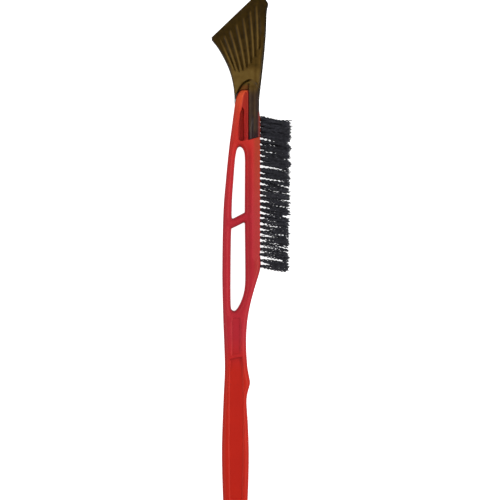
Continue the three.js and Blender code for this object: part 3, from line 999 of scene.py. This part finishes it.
def filament(base, clump, root, lean, crimp, phase, reach, splay):
    """One crimped filament, as a closed square tube that follows a wavy line out of the hole and away."""
    direction = bristle_direction()
    u, v = frame_along(direction)
    along = np.concatenate([[FILAMENT_START], np.linspace(-0.4, reach, FILAMENT_STEPS)])
    out = np.clip(along / reach, 0, 1)
    spread = 1 + TIP_SPREAD * out**splay
    wave = np.sin(2 * math.pi * (along / clump["pitch"] + phase)) * np.clip(along / CRIMP_FULL_FROM, 0, 1)
    aside = root * spread[:, None] + lean * (out**LEAN_CURVE)[:, None] + crimp * wave[:, None]
    bowed = clump["bow"] * np.sin(math.pi * out)
    points = base + along[:, None] * direction + (aside[:, :1] + bowed[:, None]) * u + aside[:, 1:] * v
    ring = np.array([u, v, -u, -v]) * FILAMENT_RADIUS
    vertices = (points[:, None] + ring[None]).reshape(-1, 3)
    faces = [
        [4 * k + i, 4 * k + (i + 1) % 4, 4 * k + 4 + (i + 1) % 4, 4 * k + 4 + i]
        for k in range(len(points) - 1)
        for i in range(4)
    ]
    last = 4 * (len(points) - 1)
    return vertices, [[3, 2, 1, 0], [last, last + 1, last + 2, last + 3], *faces]


def around(rng, radius):
    """A random point within a circle."""
    turn = rng.uniform(0, 2 * math.pi)
    return np.array([math.cos(turn), math.sin(turn)]) * radius * math.sqrt(rng.random())


def random_clump(rng, trim, row_lean):
    """How one clump of filaments stands: every tuft of a row has its own copy of it."""
    root = around(rng, CLUMP_ROOT_REACH)
    lean = np.array([rng.gauss(0, stray) for stray in CLUMP_LEAN_STRAY])
    return {
        "root": root,
        "lean": lean + np.array([row_lean, 0]),
        "bow": rng.gauss(0, CLUMP_BOW_STRAY),
        "crimp": rng.uniform(*CLUMP_CRIMP),
        "pitch": rng.uniform(*CLUMP_PITCH),
        "phase": rng.random(),
        "trim": trim + rng.gauss(0, CLUMP_TRIM_STRAY),
    }


def tuft_filaments(rng, base, clumps, splay, looseness):
    """The filaments of one tuft. They cling together in clumps, and each clump has its own extra lean."""
    shapes = []
    for clump in clumps:
        clump_lean = clump["lean"] + around(rng, looseness)
        for _ in range(FILAMENTS_PER_CLUMP):
            root = clump["root"] + around(rng, ROOT_REACH)
            lean = clump_lean + around(rng, LEAN_REACH)
            crimp_along = clump["crimp"] + rng.gauss(0, CRIMP_STRAY)
            crimp = np.array([crimp_along, rng.uniform(-CRIMP_ACROSS_REACH, CRIMP_ACROSS_REACH)])
            phase = clump["phase"] + rng.gauss(0, PHASE_STRAY)
            reach = (clump["trim"] + rng.gauss(0, TRIM_STRAY)) / math.cos(BRISTLE_TILT)
            shapes.append(filament(base, clump, root, lean, crimp, phase, reach, splay))
    return shapes


def make_bristles(row):
    """The tufts that stand side by side across the rail, fuller and looser in the rows near the blade."""
    rng = random.Random(FIRST_SEED + row)
    trim = blend((SHORTEST_TRIM, LONGEST_TRIM), row / (TUFT_ROWS - 1))
    crowding = rise(row, CROWDED_FROM_ROW, TUFT_ROWS - 1)
    splay = blend(SPLAY, crowding)
    clump_count = round(CLUMPS_PER_TUFT * (1 + crowding))
    row_lean = FIRST_ROW_LEAN if row == 0 else CROWDED_LEAN * crowding
    clumps = [random_clump(rng, trim, row_lean) for _ in range(clump_count)]
    looseness = blend(LOOSENESS, crowding)
    shapes = [
        shape
        for base in tuft_bases(row)
        for shape in tuft_filaments(rng, base, clumps, splay, looseness)
    ]
    piece = new_piece(f"bristles_{row + 1:02d}", *join_shapes(shapes), BLACK, smooth_angle=180)
    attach(piece, "root")
    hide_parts(f"tuft_row_{row + 1:02d}")


def make_anchors(row):
    """The flat wires driven across the tufts' folds at the bottom of their holes."""
    direction = bristle_direction()
    u, _ = frame_along(direction)
    half_width = u * (HOLE_RADIUS - 0.1)
    half_height = direction * ANCHOR_HEIGHT / 2
    half_thick = np.array([0, 0, ANCHOR_THICKNESS / 2])
    faces = [[3, 2, 1, 0], [4, 5, 6, 7], [0, 1, 5, 4], [1, 2, 6, 5], [2, 3, 7, 6], [3, 0, 4, 7]]
    shapes = []
    for base in tuft_bases(row):
        middle = base - direction * ANCHOR_DEPTH
        corners = [
            middle + a * half_width + b * half_height + c * half_thick
            for c in (-1, 1)
            for a, b in ((-1, -1), (1, -1), (1, 1), (-1, 1))
        ]
        shapes.append((corners, faces))
    piece = new_piece(f"anchors_{row + 1:02d}", *join_shapes(shapes), STEEL, smooth_angle=30)
    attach(piece, "root")


# ---------- studio ----------


def make_floor():
    """A plain white lit table, well wider than the view."""
    size = 20.0
    mesh = bpy.data.meshes.new("floor")
    z = cad_bounds[0].z - 0.5 * MM
    corners = [(-size, -size, z), (size, -size, z), (size, size, z), (-size, size, z)]
    mesh.from_pydata(corners, [], [(0, 1, 2, 3)])
    floor = bpy.data.objects.new("floor", mesh)
    bpy.context.scene.collection.objects.link(floor)
    nodes = Nodes("white_table")
    nodes.set(Base_Color=(0.8, 0.8, 0.8, 1), Roughness=0.6)
    nodes.set(Emission_Color=(1, 1, 1, 1), Emission_Strength=1.0)
    mesh.materials.append(nodes.material)
    floor.visible_diffuse = False
    floor.visible_glossy = False


def area_light(name, location, target, size, power):
    """A rectangular lamp that points at a target."""
    light = bpy.data.lights.new(name, "AREA")
    light.shape = "RECTANGLE"
    light.size, light.size_y = size
    light.energy = power
    lamp = bpy.data.objects.new(name, light)
    lamp.location = location
    lamp.rotation_euler = (Vector(target) - Vector(location)).to_track_quat("-Z", "Y").to_euler()
    bpy.context.scene.collection.objects.link(lamp)


def make_world():
    """Soft light all round: brightest near the horizon and dim overhead, as under a ring of screens."""
    world = bpy.data.worlds.new("studio")
    world.use_nodes = True
    tree = world.node_tree
    direction = tree.nodes.new("ShaderNodeTexCoord").outputs["Generated"]
    split = tree.nodes.new("ShaderNodeSeparateXYZ")
    tree.links.new(direction, split.inputs["Vector"])
    height = tree.nodes.new("ShaderNodeMapRange")
    height.inputs["From Min"].default_value = -1.0
    tree.links.new(split.outputs["Z"], height.inputs["Value"])
    ramp = tree.nodes.new("ShaderNodeValToRGB")
    levels = [(0.0, 0.22), (0.48, 0.3), (0.56, 0.62), (0.85, 0.45), (0.97, 0.07)]
    fill_ramp(ramp, [(position, (level, level, level, 1)) for position, level in levels])
    tree.links.new(height.outputs["Result"], ramp.inputs["Fac"])
    tree.links.new(ramp.outputs["Color"], tree.nodes["Background"].inputs["Color"])
    bpy.context.scene.world = world


def make_lights():
    """A low strip light on each long side, and a weak softbox overhead on the bristle side."""
    area_light("bristle_side", (0.0, -1.3, 0.75), (0, 0, 0), (1.6, 0.4), 15)
    area_light("spine_side", (0.0, 1.3, 0.75), (0, 0, 0), (1.6, 0.4), 9.5)
    area_light("overhead", (0.15, -0.38, 1.2), (0.05, 0, 0), (0.35, 0.35), 3.2)


def make_camera():
    """A camera straight over the middle of the brush, with the blade at the top of the picture."""
    camera = bpy.data.cameras.new("camera")
    camera.lens = 54
    camera.sensor_width = 36
    over = ORIGIN + Vector((*CAMERA_OVER, 0)) * MM
    camera_object = bpy.data.objects.new("camera", camera)
    camera_object.location = over + Vector((0, 0, VIEW_WIDTH * MM * camera.lens / camera.sensor_width))
    camera_object.rotation_euler = (0, 0, -math.pi / 2)
    bpy.context.scene.collection.objects.link(camera_object)
    bpy.context.scene.camera = camera_object


bpy.context.scene.view_settings.view_transform = "Standard"
RED = red_plastic()
AMBER = amber_plastic()
BLACK = black_filament()
STEEL = plain_steel()
make_camera()
make_world()
make_lights()
make_floor()
make_handle()
make_head()
for tuft_row in range(TUFT_ROWS):
    make_bristles(tuft_row)
    make_anchors(tuft_row)

bpy.context.view_layer.update()
